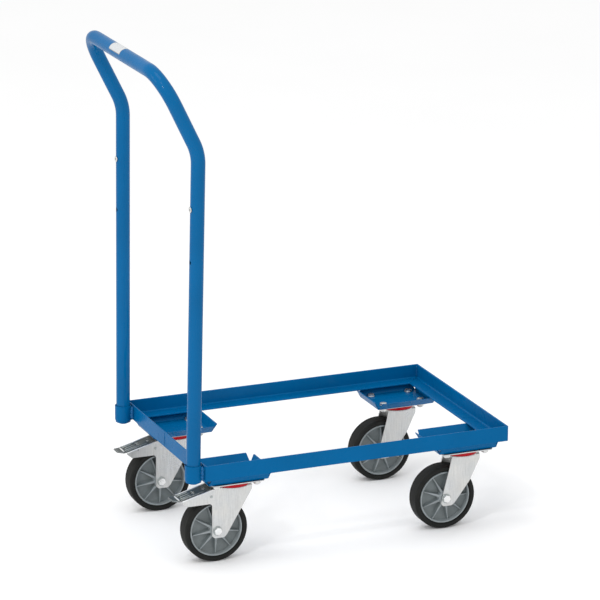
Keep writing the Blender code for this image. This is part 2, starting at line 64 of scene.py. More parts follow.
BEND_LOW_R = 0.0900
BEND_TOP_R = 0.0600
BEND_STEPS = 18
TUBE_SIDES = 48
BAR_HOLES = (0.5950, 0.6940)
HOLE_R = 0.0042
CORNERS = (("near_left", -1, -1), ("near_right", 1, -1), ("far_left", -1, 1), ("far_right", 1, 1))
SIDES = (("near", -1), ("far", 1))
CORNER_STEPS = 4
ROPE_SIDES = 12
HEX_STEPS = 36
HEX_CHAMFER = 0.93         # the flat top of a bolt head, as a share of its inner radius

# Rails, trays, sockets and their welds.
RAIL_RADII = (0.0007, 0.0004, 0.0016, 0.0032, 0.0016, 0.0004)
RAIL_STATIONS = 24
WELD_SHORT = 0.0020        # a seam stops this far from the edge
JOINT_MARK_Y = 0.0050
BEAD_STEP = 0.0007
BEAD_RIPPLE = 0.0021       # length of one ripple along a bead
BEAD_DRIFT = 0.0090        # length of one slow wave along a bead
BEAD_GUIDE = (0.31, 0.55, 0.77)
TACK_PLACES = (-0.34, 0.30)
TACK_R = 0.0012
SOCKET_BORE = 0.0146
SOCKET_DOME = 0.0110       # height of the domed foot
SOCKET_WELD_Y = 0.0122     # from the cup's middle to a side weld

# Inserts, as (radius, depth into the tube from its outer side), and the label.
INSERT_FLANGE = ((0.0022, -0.0009), (0.0027, -0.0012), (0.0050, -0.0012), (0.0056, -0.0009),
                 (0.0058, -0.0004), (0.0058, 0.0), (0.0038, 0.0), (0.0038, 0.0068))
INSERT_THREADS = 8
INSERT_PITCH = 0.0009
LABEL_R = TUBE_R - TUBE_SKIN + 0.00012
LABEL_THICK = 0.00022
LABEL_WIDTH = 0.056
LABEL_Y = 0.0090
LABEL_FIRST = math.radians(-26)
LABEL_LAST = math.radians(76)
LABEL_CORNER = 0.0016
LABEL_COLUMNS = 40
LABEL_ROWS = 18

# Swivel heads and forks.
TRAY_SEAT = 0.0034         # bolt washers lie this far above the tray's under side
THREAD_PITCH = 0.00125
AXLE_R = 0.0038
# Lower end of the kingpin: (radius, height over its lowest point).
RIVETED_HEAD = ((0.0060, 0.0042), (0.0098, 0.0040), (0.0105, 0.0034), (0.0104, 0.0018),
                (0.0088, 0.0004), (0.0045, 0.0), (0.0038, 0.0006), (0.0, 0.0008))
# Seat under the red ring: (outwards from its edge, upwards from the crown).
RING_SEAT = ((-0.0016, -0.0004), (-0.0004, -0.0004), (0.0, 0.0012), (-0.0004, 0.0019), (-0.0016, 0.0020))
# Top edge of a braked cheek: (along X from the axle, height).
CHEEK_TOP = ((-0.0690, 0.1278), (-0.0100, 0.1436), (0.0150, 0.1444))
RIVET_X = -0.0120          # along X from the axle
RIVET_Z = 0.1310
# Head of the pedal's rivet: (radius, outwards from the cheek).
RIVET_DOME = ((0.0, 0.0010), (0.0014, 0.0009), (0.0026, 0.0004), (0.0030, -0.0004), (0.0, -0.0006))

# Wheels.
TYRE_SEAT = 0.0522         # radius at which the tyre meets the wheel centre
# Step beside the seat: (outwards from the seat, inwards from the tyre's side).
TYRE_BEAD = ((0.0, 0.0015), (0.0006, 0.0010), (0.0016, 0.0012), (0.0019, 0.0006), (0.0040, 0.0001))
HUB_R = 0.0130
WEB_STEPS = 9
FIELD_STEPS = 5            # strips of web between two ribs
RIB_COUNT = 9
RIB_START = 0.0135         # radius at which the ribs meet the hub
RIB_FOOT = 0.0012          # fillet at each side of a rib
# Half of a rib's section: (side of the rib, shift across it, share of its height).
RIB_HALF_SECTION = ((-1.0, -RIB_FOOT, 0.0), (-1.0, -0.0002, 0.12),
                    (-1.0, 0.0002, 0.94), (-1.0, 0.0006, 1.0))
RIB_SECTION = RIB_HALF_SECTION + tuple((-a, -b, c) for a, b, c in reversed(RIB_HALF_SECTION))
RIB_TOP = (3, 4, 5)        # columns of the section that lie on the rib's top
RIB_PHASE = {"near_left": 29.0, "near_right": 0.0, "far_left": 30.0, "far_right": 12.0}

# Pedals.
PEDAL_START = (-0.0740, 0.1285)    # along X from the axle, and height
PEDAL_RISE = (0.0175, 0.0680)      # rise and run of its slope
PEDAL_BARS = (
    # along the pedal, across it, lengthwise, half length, radius, material
    # The tip bar (material 1) is in the lighter zinc, a painted highlight.
    (0.0012, 0.0, False, 0.0140, 0.0015, 1),
    (0.0170, -0.0085, True, 0.0130, 0.0012, 2),
    (0.0270, -0.0135, True, 0.0230, 0.0009, 2),
    (0.0170, 0.0085, True, 0.0130, 0.0012, 2),
    (0.0270, 0.0135, True, 0.0230, 0.0009, 2),
    (0.0170, 0.0, True, 0.0100, 0.0010, 2),
    (0.0330, 0.0, False, 0.0085, 0.0010, 2),
)
# Spring leaf: outline along and across the pedal, then (height, scale) of each level.
LEAF_CORNERS = ((0.0215, -0.0090), (0.0600, -0.0090), (0.0600, 0.0090), (0.0215, 0.0090))
LEAF_MIDDLE = (0.04075, 0.0)
LEAF_LEVELS = ((-0.0024, 0.98), (-0.0026, 1.0), (-0.0034, 1.0), (-0.0036, 0.98))

# Materials and studio.
NOISE_LOW = 0.3            # most of a noise output lies between these two
NOISE_HIGH = 0.7
PAINT_BLUE = (0.0, 0.107, 0.285)
PAINT_DUST = (0.08, 0.21, 0.40)
FLOOR_REACH = 40.0
FLOOR_STEPS = 16
LIGHTS = (
    # name, place, target, size, power
    ("key_overhead", (-0.9, -0.3, 3.2), (0.1, 0.0, 0.2), 1.4, 14.0),
    ("side_left", (-3.2, 0.6, 1.5), (0.0, 0.0, 0.3), 1.2, 8.0),
    ("lamp_high", (-1.55, -1.50, 2.80), (-0.33, -0.12, 0.90), 0.22, 10.0),
    ("lamp_low", (-2.20, -1.75, 2.10), (-0.33, -0.12, 0.90), 0.22, 9.0),
)
CAMERA_PLACE = (-2.567214, -6.148782, 2.455979)
CAMERA_TURN = (73.14992, -0.19520, -22.69662)
CAMERA_LENS = 220.824

RAIL_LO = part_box("rail_handle_end")[0]
RAIL_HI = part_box("rail_front_end")[1]
X_MIN = RAIL_LO.x
X_MAX = RAIL_HI.x
Y_MAX = RAIL_HI.y
Y_MIN = -Y_MAX
FRAME_TOP = RAIL_HI.z
LEDGE_UNDER = RAIL_LO.z
LEDGE_TOP = LEDGE_UNDER + ANGLE_T


# ---------------------------------------------------------------- shape helpers
def box_centre(node):
    lo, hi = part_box(node)
    return (lo + hi) / 2


def circle(r, n):
    step = 2 * math.pi / n
    return [(r * math.cos(i * step), r * math.sin(i * step)) for i in range(n)]


def unit(vector):
    return vector / np.linalg.norm(vector)


def rounded(points, radii):
    """Flat polygon with each corner turned into an arc."""
    out = []
    for i, point in enumerate(points):
        p = np.array(point, float)
        a = unit(np.array(points[i - 1]) - p)
        b = unit(np.array(points[(i + 1) % len(points)]) - p)
        r = radii[i]
        half = math.acos(float(np.clip(a @ b, -1, 1))) / 2
        centre = p + unit(a + b) * (r / math.sin(half))
        first = p + a * r / math.tan(half) - centre
        last = p + b * r / math.tan(half) - centre
        start = math.atan2(first[1], first[0])
        turn = (math.atan2(last[1], last[0]) - start + math.pi) % (2 * math.pi) - math.pi
        for k in range(CORNER_STEPS + 1):
            t = start + turn * k / CORNER_STEPS
            out.append((centre[0] + r * math.cos(t), centre[1] + r * math.sin(t)))
    return out


def fillet_path(points, radii, steps):
    """Polyline in space with its inner corners turned into arcs."""
    pts = [np.array(p, float) for p in points]
    out = [pts[0]]
    for before, corner, after, r in zip(pts, pts[1:], pts[2:], radii):
        a = unit(before - corner)
        b = unit(after - corner)
        half = math.acos(float(np.clip(a @ b, -1, 1))) / 2
        centre = corner + unit(a + b) * (r / math.sin(half))
        first = (corner + a * r / math.tan(half) - centre) / r
        last = corner + b * r / math.tan(half) - centre
        across = unit(last - first * float(last @ first))
        for k in range(steps + 1):
            t = (math.pi - 2 * half) * k / steps
            out.append(centre + r * (first * math.cos(t) + across * math.sin(t)))
    out.append(pts[-1])
    return out


def loft(bm, rings, closed=False, material=0):
    """Skin between rings of points; a ring of one point closes to a tip."""
    made = [[bm.verts.new(p) for p in ring] for ring in rings]
    count = len(made) if closed else len(made) - 1
    for k in range(count):
        a = made[k]
        b = made[(k + 1) % len(made)]
        n = max(len(a), len(b))
        for i in range(n):
            j = (i + 1) % n
            quad = [a[i % len(a)], a[j % len(a)], b[j % len(b)], b[i % len(b)]]
            corners = list(dict.fromkeys(quad))
            if len(corners) > 2:
                bm.faces.new(corners).material_index = material
    return made


def lathe(bm, profile, n, centre, axis="Z", closed=True, material=0):
    """Turn (radius, height) points about an axis through centre."""
    rings = []
    for r, h in profile:
        flat = circle(r, n) if r > 1e-7 else [(0.0, 0.0)]
        rings.append([spin_point(x, y, h, centre, axis) for x, y in flat])
    return loft(bm, rings, closed, material)


def spin_point(x, y, h, centre, axis):
    offset = {"Z": (x, y, h), "Y": (x, h, y), "X": (h, x, y)}[axis]
    return tuple(c + o for c, o in zip(centre, offset))


def tube_rings(points, radii, n):
    """Rings of a round sweep along points, with one radius for each point."""
    pts = [np.array(p, float) for p in points]
    first = pts[1] - pts[0]
    guide = (1.0, 0.0, 0.0) if abs(first[0]) < 0.9 * np.linalg.norm(first) else (0.0, 1.0, 0.0)
    u = np.cross(first, guide)
    rings = []
    for i, p in enumerate(pts):
        t = unit(pts[min(i + 1, len(pts) - 1)] - pts[max(i - 1, 0)])
        u = unit(u - t * float(u @ t))
        w = np.cross(t, u)
        rings.append([p + u * x + w * y for x, y in circle(radii[i], n)])
    return rings


def rope(bm, points, radii, material=0):
    """Round sweep along points that closes to a tip at both ends."""
    rings = [[tuple(points[0])]] + tube_rings(points, radii, ROPE_SIDES) + [[tuple(points[-1])]]
    loft(bm, rings, material=material)


def soften(bm, width, segments, angle, pick=None, material=-1):
    """Round the edges that turn by more than angle, or only those that pick accepts."""
    chosen = []
    for e in bm.edges:
        if len(e.link_faces) != 2 or e.calc_face_angle() < math.radians(angle):
            continue
        a = e.verts[0].co
        b = e.verts[1].co
        if pick is None or pick((a + b) / 2, b - a):
            chosen.append(e)
    bmesh.ops.bevel(bm, geom=chosen, offset=width, offset_type="OFFSET", segments=segments,
                    profile=0.5, affect="EDGES", clamp_overlap=True, material=material)


def shell_of(node):
    """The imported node's surface with its triangles merged back into flat faces."""
    bm = bmesh.new()
    bm.from_mesh(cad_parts[node].data)
    bmesh.ops.remove_doubles(bm, verts=bm.verts[:], dist=2e-6)
    bmesh.ops.dissolve_limit(bm, angle_limit=math.radians(1.0), verts=bm.verts[:], edges=bm.edges[:])
    return bm


def new_object(name, data):
    ob = bpy.data.objects.new(name, data)
    bpy.context.scene.collection.objects.link(ob)
    return ob


def piece(name, bm, materials, body, stands_for=(), sharp=38.0):
    """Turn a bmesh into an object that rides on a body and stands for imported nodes."""
    bmesh.ops.recalc_face_normals(bm, faces=bm.faces[:])
    mesh = bpy.data.meshes.new(name)
    bm.to_mesh(mesh)
    bm.free()
    for mat in materials:
        mesh.materials.append(mat)
    for poly in mesh.polygons:
        poly.use_smooth = True
    mesh.set_sharp_from_angle(angle=math.radians(sharp))
    ob = new_object(name, mesh)
    even = ob.modifiers.new("even_normals", "WEIGHTED_NORMAL")
    even.keep_sharp = True
    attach(ob, body)
    if stands_for:
        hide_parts(*stands_for)
    return ob


def hex_profile(turn, flat_r):
    """Angle and radius round a hexagon whose flats lie flat_r from its middle."""
    out = []
    for i in range(HEX_STEPS):
        t = 2 * math.pi * i / HEX_STEPS
        local = (t - turn + math.pi / 6) % (math.pi / 3) - math.pi / 6
        out.append((t, flat_r / math.cos(local)))
    return out


def hexagon(bm, centre, axis, low, high, flat_r, turn):
    """Hexagon head or nut between two heights along an axis, chamfered at the high end."""
    chamfer_r = flat_r * HEX_CHAMFER
    slope = math.tan(math.radians(30)) * (-1.0 if high > low else 1.0)
    face = []
    edge = []
    foot = []
    for t, r in hex_profile(turn, flat_r):
        c = math.cos(t)
        s = math.sin(t)
        face.append(spin_point(chamfer_r * c, chamfer_r * s, high, centre, axis))
        edge.append(spin_point(r * c, r * s, high + (r - chamfer_r) * slope, centre, axis))
        foot.append(spin_point(r * c, r * s, low, centre, axis))
    tip = [spin_point(0, 0, high, centre, axis)]
    base = [spin_point(0, 0, low, centre, axis)]
    loft(bm, [tip, face, edge, foot, base])


# ---------------------------------------------------------------- material helpers
def start_material(name, roughness, metallic=0.0, specular=0.5):
    mat = bpy.data.materials.new(name)
    mat.use_nodes = True
    tree = mat.node_tree
    shader = tree.nodes["Principled BSDF"]
    shader.inputs["Roughness"].default_value = roughness
    shader.inputs["Metallic"].default_value = metallic
    shader.inputs["Specular IOR Level"].default_value = specular
    place = tree.nodes.new("ShaderNodeTexCoord").outputs["Object"]
    return mat, tree, shader, place


def noise(tree, place, scale, detail=3.0, stretch=None, roughness=0.55):
    """Fractal noise in object space; stretch multiplies the axes."""
    if stretch:
        mapping = tree.nodes.new("ShaderNodeMapping")
        mapping.inputs["Scale"].default_value = stretch
        tree.links.new(place, mapping.inputs["Vector"])
        place = mapping.outputs["Vector"]
    made = tree.nodes.new("ShaderNodeTexNoise")
    made.inputs["Scale"].default_value = scale
    made.inputs["Detail"].default_value = detail
    made.inputs["Roughness"].default_value = roughness
    tree.links.new(place, made.inputs["Vector"])
    return made.outputs["Fac"]


def ramp(tree, value, stops):
    """Colour ramp from (position, colour) stops."""
    made = tree.nodes.new("ShaderNodeValToRGB")
    elements = made.color_ramp.elements
    while len(elements) < len(stops):
        elements.new(0.5)
    for element, (position, colour) in zip(elements, stops):
        element.position = position
        element.color = (*colour, 1.0)
    tree.links.new(value, made.inputs["Fac"])
    return made.outputs["Color"]


def mask(tree, value, start, stop):
    """Black where value is below start, white where it is above stop."""
    return ramp(tree, value, [(start, (0, 0, 0)), (stop, (1, 1, 1))])


def mix(tree, factor, a, b, blend="MIX"):
    """Mix two colours, each a tuple or an output; factor is a number or an output."""
    made = tree.nodes.new("ShaderNodeMix")
    made.data_type = "RGBA"
    made.blend_type = blend
    if isinstance(factor, float):
        made.inputs[0].default_value = factor
    else:
        tree.links.new(factor, made.inputs[0])
    for socket, value in ((made.inputs[6], a), (made.inputs[7], b)):
        if isinstance(value, tuple):
            socket.default_value = (*value, 1.0)
        else:
            tree.links.new(value, socket)
    return made.outputs[2]


def remap(tree, value, low, high):
    """Spread the range in which a noise mostly lies over low to high."""
    made = tree.nodes.new("ShaderNodeMapRange")
    made.inputs["From Min"].default_value = NOISE_LOW
    made.inputs["From Max"].default_value = NOISE_HIGH
    made.inputs["To Min"].default_value = low
    made.inputs["To Max"].default_value = high
    tree.links.new(value, made.inputs["Value"])
    return made.outputs["Result"]


def bump(tree, shader, layers):
    """Stack of (height output, strength, distance) bumps into the shader's normal."""
    normal = None
    for height, strength, distance in layers:
        made = tree.nodes.new("ShaderNodeBump")
        made.inputs["Strength"].default_value = strength
        made.inputs["Distance"].default_value = distance
        tree.links.new(height, made.inputs["Height"])
        if normal is not None:
            tree.links.new(normal, made.inputs["Normal"])
        normal = made.outputs["Normal"]
    tree.links.new(normal, shader.inputs["Normal"])


def shade(colour, factor):
    return tuple(min(1.0, c * factor) for c in colour)


# ---------------------------------------------------------------- materials
def blue_paint(name, gloss):
    """Powder coat: slight orange peel, cloudy tone, sparse dust and scuffs."""
    mat, tree, shader, place = start_material(name, 0.3, specular=0.035)
    tones = [(NOISE_LOW, shade(PAINT_BLUE, 0.93)), (NOISE_HIGH, shade(PAINT_BLUE, 1.07))]
    cloud = ramp(tree, noise(tree, place, 9.0, 4.0), tones)
    scuff = mask(tree, noise(tree, place, 240.0, 6.0, roughness=0.7), 0.70, 0.78)
    dusty = mix(tree, 0.14, cloud, PAINT_DUST)
    tree.links.new(mix(tree, scuff, cloud, dusty), shader.inputs["Base Color"])
    tree.links.new(remap(tree, noise(tree, place, 35.0), 0.22, 0.36), shader.inputs["Roughness"])
    shader.inputs["Coat Weight"].default_value = gloss
    shader.inputs["Coat Roughness"].default_value = 0.05
    bump(tree, shader, [(noise(tree, place, 520.0, 2.0), 0.10, 0.0004),
                        (noise(tree, place, 90.0, 2.0), 0.12, 0.0006)])
    return mat


def weld_paint():
    """The same coat over a weld bead: uneven, with painted shade in its valleys and a painted highlight
    on its ridges.
    """
    mat, tree, shader, place = start_material("blue_coat_on_weld", 0.34, specular=0.30)
    lump = noise(tree, place, 420.0, 5.0, roughness=0.7)
    # Low parts of the bead darker as painted shade, high parts lighter as painted highlight.
    colour = ramp(tree, lump, [(0.32, (0.0, 0.062, 0.18)), (0.62, (0.002, 0.125, 0.33))])
    tree.links.new(colour, shader.inputs["Base Color"])
    tree.links.new(remap(tree, lump, 0.28, 0.45), shader.inputs["Roughness"])
    bump(tree, shader, [(lump, 0.55, 0.0008)])
    return mat


def zinc_plate(name, tone, rough_low, rough_high, streak=0.06, metallic=0.88):
    """Plated steel: crystal spangle, upright drawing marks, faint tint clouds."""
    mat, tree, shader, place = start_material(name, rough_low, metallic=metallic)
    spangle = tree.nodes.new("ShaderNodeTexVoronoi")
    spangle.inputs["Scale"].default_value = 260.0
    tree.links.new(place, spangle.inputs["Vector"])
    cells = ramp(tree, spangle.outputs["Distance"], [(0.0, shade(tone, 0.97)), (0.8, shade(tone, 1.03))])
    marks = noise(tree, place, 60.0, 5.0, stretch=(9.0, 9.0, 0.5))
    lines = ramp(tree, marks, [(NOISE_LOW, (1 - streak,) * 3), (NOISE_HIGH, (1.0,) * 3)])
    lined = mix(tree, 1.0, cells, lines, "MULTIPLY")
    cloud = noise(tree, place, 28.0, 4.0)
    tint = ramp(tree, cloud, [(0.35, (0.90, 0.915, 0.93)), (0.65, (1.0, 0.992, 0.975))])
    tree.links.new(mix(tree, 1.0, lined, tint, "MULTIPLY"), shader.inputs["Base Color"])
    tree.links.new(remap(tree, cloud, rough_low, rough_high), shader.inputs["Roughness"])
    bump(tree, shader, [(marks, 0.06, 0.0003), (noise(tree, place, 900.0, 2.0), 0.08, 0.0002)])
    return mat


def rubber():
    """Charcoal rubber: fine grain, faint dust, shine broken up by use."""
    mat, tree, shader, place = start_material("charcoal_rubber", 0.7, specular=0.16)
    grain = noise(tree, place, 1100.0, 3.0)
    cloud = noise(tree, place, 45.0, 4.0)
    dust = ramp(tree, cloud, [(0.42, (0.0105, 0.0112, 0.0105)), (0.72, (0.0190, 0.0195, 0.0180))])
    specks = mask(tree, noise(tree, place, 700.0, 4.0), 0.66, 0.76)
    tree.links.new(mix(tree, specks, dust, (0.048, 0.048, 0.045)), shader.inputs["Base Color"])
    tree.links.new(remap(tree, cloud, 0.58, 0.80), shader.inputs["Roughness"])
    bump(tree, shader, [(grain, 0.30, 0.0002)])
    return mat


def moulded(name, tone, rough, specular=0.4):
    """Moulded plastic: fine grain, slow flow marks."""
    mat, tree, shader, place = start_material(name, rough, specular=specular)
    flow = noise(tree, place, 70.0, 3.0)
    colour = ramp(tree, flow, [(0.32, shade(tone, 0.90)), (0.68, shade(tone, 1.10))])
    specks = mask(tree, noise(tree, place, 420.0, 5.0), 0.64, 0.74)
    pale = mix(tree, 0.25, colour, shade(tone, 1.7))
    tree.links.new(mix(tree, specks, colour, pale), shader.inputs["Base Color"])
    tree.links.new(remap(tree, flow, rough - 0.07, rough + 0.09), shader.inputs["Roughness"])
    bump(tree, shader, [(noise(tree, place, 800.0, 2.0), 0.16, 0.0002)])
    return mat


def label_film(tone):
    """Blank printed-film label: satin, nearly neutral, with faint fibres."""
    mat, tree, shader, place = start_material("label_film_%d" % round(100 * tone), 0.35, specular=0.2)
    fibre = noise(tree, place, 350.0, 4.0, stretch=(1.0, 0.3, 1.0))
    low = (0.94 * tone, 0.97 * tone, tone)
    high = (tone, 1.02 * tone, 1.04 * tone)
    colour = ramp(tree, fibre, [(NOISE_LOW, low), (NOISE_HIGH, high)])
    tree.links.new(colour, shader.inputs["Base Color"])
    tree.links.new(remap(tree, fibre, 0.30, 0.42), shader.inputs["Roughness"])
    bump(tree, shader, [(fibre, 0.05, 0.0002)])
    return mat


BLUE = blue_paint("blue_powder_coat", 0.05)
BAR_BLUE = blue_paint("bar_powder_coat", 0.15)
WELD = weld_paint()
ZINC = zinc_plate("bright_zinc", (0.68, 0.685, 0.68), 0.24, 0.44, 0.20)
# Lighter zinc for cut edges, cheek tops and the pedal tip: a painted highlight.
ZINC_EDGE_HIGHLIGHT = zinc_plate("zinc_edge_painted_highlight", (0.88, 0.885, 0.89), 0.30, 0.45)
BOLT_ZINC = zinc_plate("bolt_zinc", (0.66, 0.66, 0.65), 0.22, 0.38, 0.05)
DARK_ZINC = zinc_plate("pedal_zinc", (0.080, 0.098, 0.093), 0.30, 0.48, 0.25, 0.45)
RUBBER = rubber()
RIM = moulded("rim_web_grey", (0.170, 0.195, 0.200), 0.46)
# Lighter grey for rib tops, hub and outer ring: a painted highlight.
RIM_HIGHLIGHT = moulded("rim_rib_painted_highlight", (0.255, 0.285, 0.295), 0.38)
RED = moulded("red_seal", (0.43, 0.002, 0.009), 0.36, specular=0.2)
# Pale zinc for the axle bolt: a painted highlight.
BOLT_PAINTED_HIGHLIGHT = zinc_plate("bolt_painted_highlight", (0.86, 0.86, 0.855), 0.16, 0.30, 0.04)
# Near-white, barely metallic leaf: painted light, so the pedal's holes read bright though the leaf lies
# in shade.
SPRING_LEAF_PAINTED_LIGHT = zinc_plate("spring_leaf_painted_light", (0.90, 0.90, 0.88), 0.35, 0.50, 0.04, 0.15)
# Grey zinc for the pedal's bars and rivet; on the axle washers it is a painted shadow.
GREY_ZINC_AND_SHADE = zinc_plate("grey_zinc_and_painted_shade", (0.42, 0.45, 0.44), 0.24, 0.40, 0.10)
LABEL = label_film(0.54)
LABEL_EDGE = label_film(0.24)


# ---------------------------------------------------------------- frame
def rail(name, start, along, inward, length):
    """Rolled angle with rounded toes and root, both ends mitred."""
    corners = [(0.0, 0.0), (ANGLE, 0.0), (ANGLE, ANGLE_T)]
    corners += [(ANGLE_T, ANGLE_T), (ANGLE_T, ANGLE), (0.0, ANGLE)]
    outline = rounded(corners, RAIL_RADII)
    start = Vector(start)
    along = Vector(along)
    inward = Vector(inward)
    rings = []
    for k in range(RAIL_STATIONS + 1):
        ring = []
        for u, z in outline:
            near = u + MITRE_GAP
            s = near + (length - 2 * near) * k / RAIL_STATIONS
            ring.append(start + along * s + inward * u + Vector((0, 0, z)))
        rings.append(ring)
    bm = bmesh.new()
    made = loft(bm, rings)
    bm.faces.new(made[0])
    bm.faces.new(made[-1])
    piece(name + "_rolled", bm, [BLUE], "frame", [name])


def bead(name, start, end, radius, seed, ripples=1.0):
    """Weld bead: a lumpy rope with tapered ends."""
    a = np.array(start, float)
    b = np.array(end, float)
    length = float(np.linalg.norm(b - a))
    steps = max(8, int(length / BEAD_STEP))
    side = unit(np.cross(b - a, BEAD_GUIDE))
    points = []
    radii = []
    for k in range(steps + 1):
        t = k / steps
        wave = math.sin(length * t / BEAD_RIPPLE * ripples * 2 * math.pi + seed)
        drift = math.sin(length * t / BEAD_DRIFT * 2 * math.pi + 2.1 * seed)
        taper = min(1.0, 6 * t + 0.15, 6 * (1 - t) + 0.15)
        points.append(a + (b - a) * t + side * drift * radius * 0.12)
        radii.append(radius * taper * (1 + 0.13 * wave + 0.10 * drift))
    bm = bmesh.new()
    rope(bm, points, radii)
    piece(name, bm, [WELD], "frame", sharp=70.0)


def build_rails():
    """Four mitred rails, their corner seams and the joint mark on the handle-end rail."""
    long_side = X_MAX - X_MIN
    short_side = Y_MAX - Y_MIN
    rail("rail_near", (X_MIN, Y_MIN, LEDGE_UNDER), (1, 0, 0), (0, 1, 0), long_side)
    rail("rail_far", (X_MAX, Y_MAX, LEDGE_UNDER), (-1, 0, 0), (0, -1, 0), long_side)
    rail("rail_handle_end", (X_MIN, Y_MAX, LEDGE_UNDER), (0, -1, 0), (1, 0, 0), short_side)
    rail("rail_front_end", (X_MAX, Y_MIN, LEDGE_UNDER), (0, 1, 0), (-1, 0, 0), short_side)
    for tag, sx, sy in CORNERS:
        build_corner_welds(tag, sx, sy)
    x = X_MIN + 0.0001
    bead("weld_end_joint", (x, JOINT_MARK_Y, LEDGE_UNDER + 0.0010), (x, JOINT_MARK_Y, FRAME_TOP - 0.0010),
         0.0011, seed=1.0)


def build_corner_welds(tag, sx, sy):
    """Seams up the webs, under the mitre and on the ledge of one corner."""
    x = (X_MIN if sx < 0 else X_MAX) - sx * ANGLE_T
    y = (Y_MIN if sy < 0 else Y_MAX) - sy * ANGLE_T
    reach = ANGLE - ANGLE_T - WELD_SHORT
    inner = (x - sx * reach, y - sy * reach)
    toe = (x - sx * ANGLE_T, y - sy * ANGLE_T)
    under = LEDGE_UNDER + 0.0001
    bead("weld_web_" + tag, (x, y, LEDGE_TOP + 0.0010), (x, y, FRAME_TOP - WELD_SHORT), 0.0019,
         seed=sx + 2 * sy)
    bead("weld_mitre_" + tag, (x, y, under), (*inner, under), 0.0012, seed=sy)
    bead("weld_toe_" + tag, (*toe, LEDGE_TOP), (*inner, LEDGE_TOP - 0.0002), 0.0006, seed=sx)


def build_trays():
    for tag, sx, sy in CORNERS:
        build_tray(tag, sx, sy)


def build_tray(tag, sx, sy):
    """Folded pan with rounded folds, and the tacks along its two outer sides."""
    name = "tray_" + tag
    lo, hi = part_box(name)

    def bottom_fold(middle, direction):
        level = abs(direction.z) < 1e-5
        return middle.z < lo.z + 0.004 and level and direction.length > 0.05

    bm = shell_of(name)
    soften(bm, 0.0012, 3, 15.0, bottom_fold)
    soften(bm, 0.0005, 2, 30.0)
    piece(name + "_folded", bm, [BLUE], "frame", [name])
    mid = (lo + hi) / 2
    side_y = sy * (abs(mid.y) + (hi.y - lo.y) / 2)
    end_x = hi.x if sx > 0 else lo.x
    z = LEDGE_UNDER - 0.0006
    for k, share in enumerate(TACK_PLACES):
        x = mid.x + share * (hi.x - lo.x)
        y = mid.y + share * (hi.y - lo.y)
        long_name = "weld_tray_long_%s_%d" % (tag, k + 1)
        end_name = "weld_tray_end_%s_%d" % (tag, k + 1)
        bead(long_name, (x - 0.008, side_y, z), (x + 0.008, side_y, z), TACK_R, seed=k + sx)
        bead(end_name, (end_x, y - 0.007, z), (end_x, y + 0.007, z), TACK_R, seed=k)


def build_sockets():
    for tag, sy in SIDES:
        build_socket(tag, sy)


def build_socket(tag, sy):
    """Cup for a bar leg, with a rolled mouth, a domed foot and its weld seams."""
    name = "bar_socket_" + tag
    lo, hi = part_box(name)
    mid = (lo + hi) / 2
    r = (hi.x - lo.x) / 2
    profile = [(0.0, lo.z)]
    for k in range(1, 13):
        t = math.radians(90) * k / 12
        profile.append((r * math.sin(t), lo.z + SOCKET_DOME * (1 - math.cos(t))))
    profile += [(r, hi.z - 0.0008), (r - 0.0003, hi.z - 0.0002), (r - 0.0006, hi.z)]
    profile += [(SOCKET_BORE + 0.0003, hi.z), (SOCKET_BORE, hi.z - 0.0004)]
    profile += [(SOCKET_BORE, lo.z + 0.005), (0.0, lo.z + 0.004)]
    bm = bmesh.new()
    lathe(bm, profile, 64, (mid.x, mid.y, 0.0), closed=False)
    piece(name + "_cup", bm, [BLUE], "frame", [name])
    x = X_MIN - 0.0024
    for k, side in enumerate((-1, 1)):
        y = mid.y + side * SOCKET_WELD_Y
        bead("weld_socket_%s_%d" % (tag, k + 1), (x, y, LEDGE_UNDER + 0.0015), (x, y, hi.z - 0.0015),
             0.0040, seed=k + sy, ripples=0.45)
    x = X_MIN - 0.0020
    z = LEDGE_UNDER - 0.0002
    bead("weld_socket_under_" + tag, (x, mid.y - 0.006, z), (x, mid.y + 0.006, z), 0.0026,
         seed=sy, ripples=0.6)


# ---------------------------------------------------------------- push bar
def bar_point(sy, z):
    """Point on the axis of a leg, which passes through the middle of its socket."""
    lo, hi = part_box("bar_socket_near")
    rise = z - (hi.z + BAR_FOOT_Z) / 2
    x = (lo.x + hi.x) / 2 + rise * math.tan(BAR_LEAN)
    y = sy * (abs(lo.y + hi.y) / 2 + rise * math.tan(BAR_SPLAY))
    return np.array((x, y, z))


def bar_corners():
    """Corners of the bar's axis before its bends: foot, knee and top, then the same on the far side."""
    knee = [bar_point(sy, BAR_BEND_Z) for sy in (-1, 1)]
    back = np.array((-math.sin(BAR_BACK), 0.0, math.cos(BAR_BACK))) * BAR_SLANT
    feet = [bar_point(sy, BAR_FOOT_Z) for sy in (-1, 1)]
    top = [k + back + (0.0, sy * BAR_SLANT * math.sin(BAR_SPLAY), 0.0) for k, sy in zip(knee, (-1, 1))]
    return [feet[0], knee[0], top[0], top[1], knee[1], feet[1]]


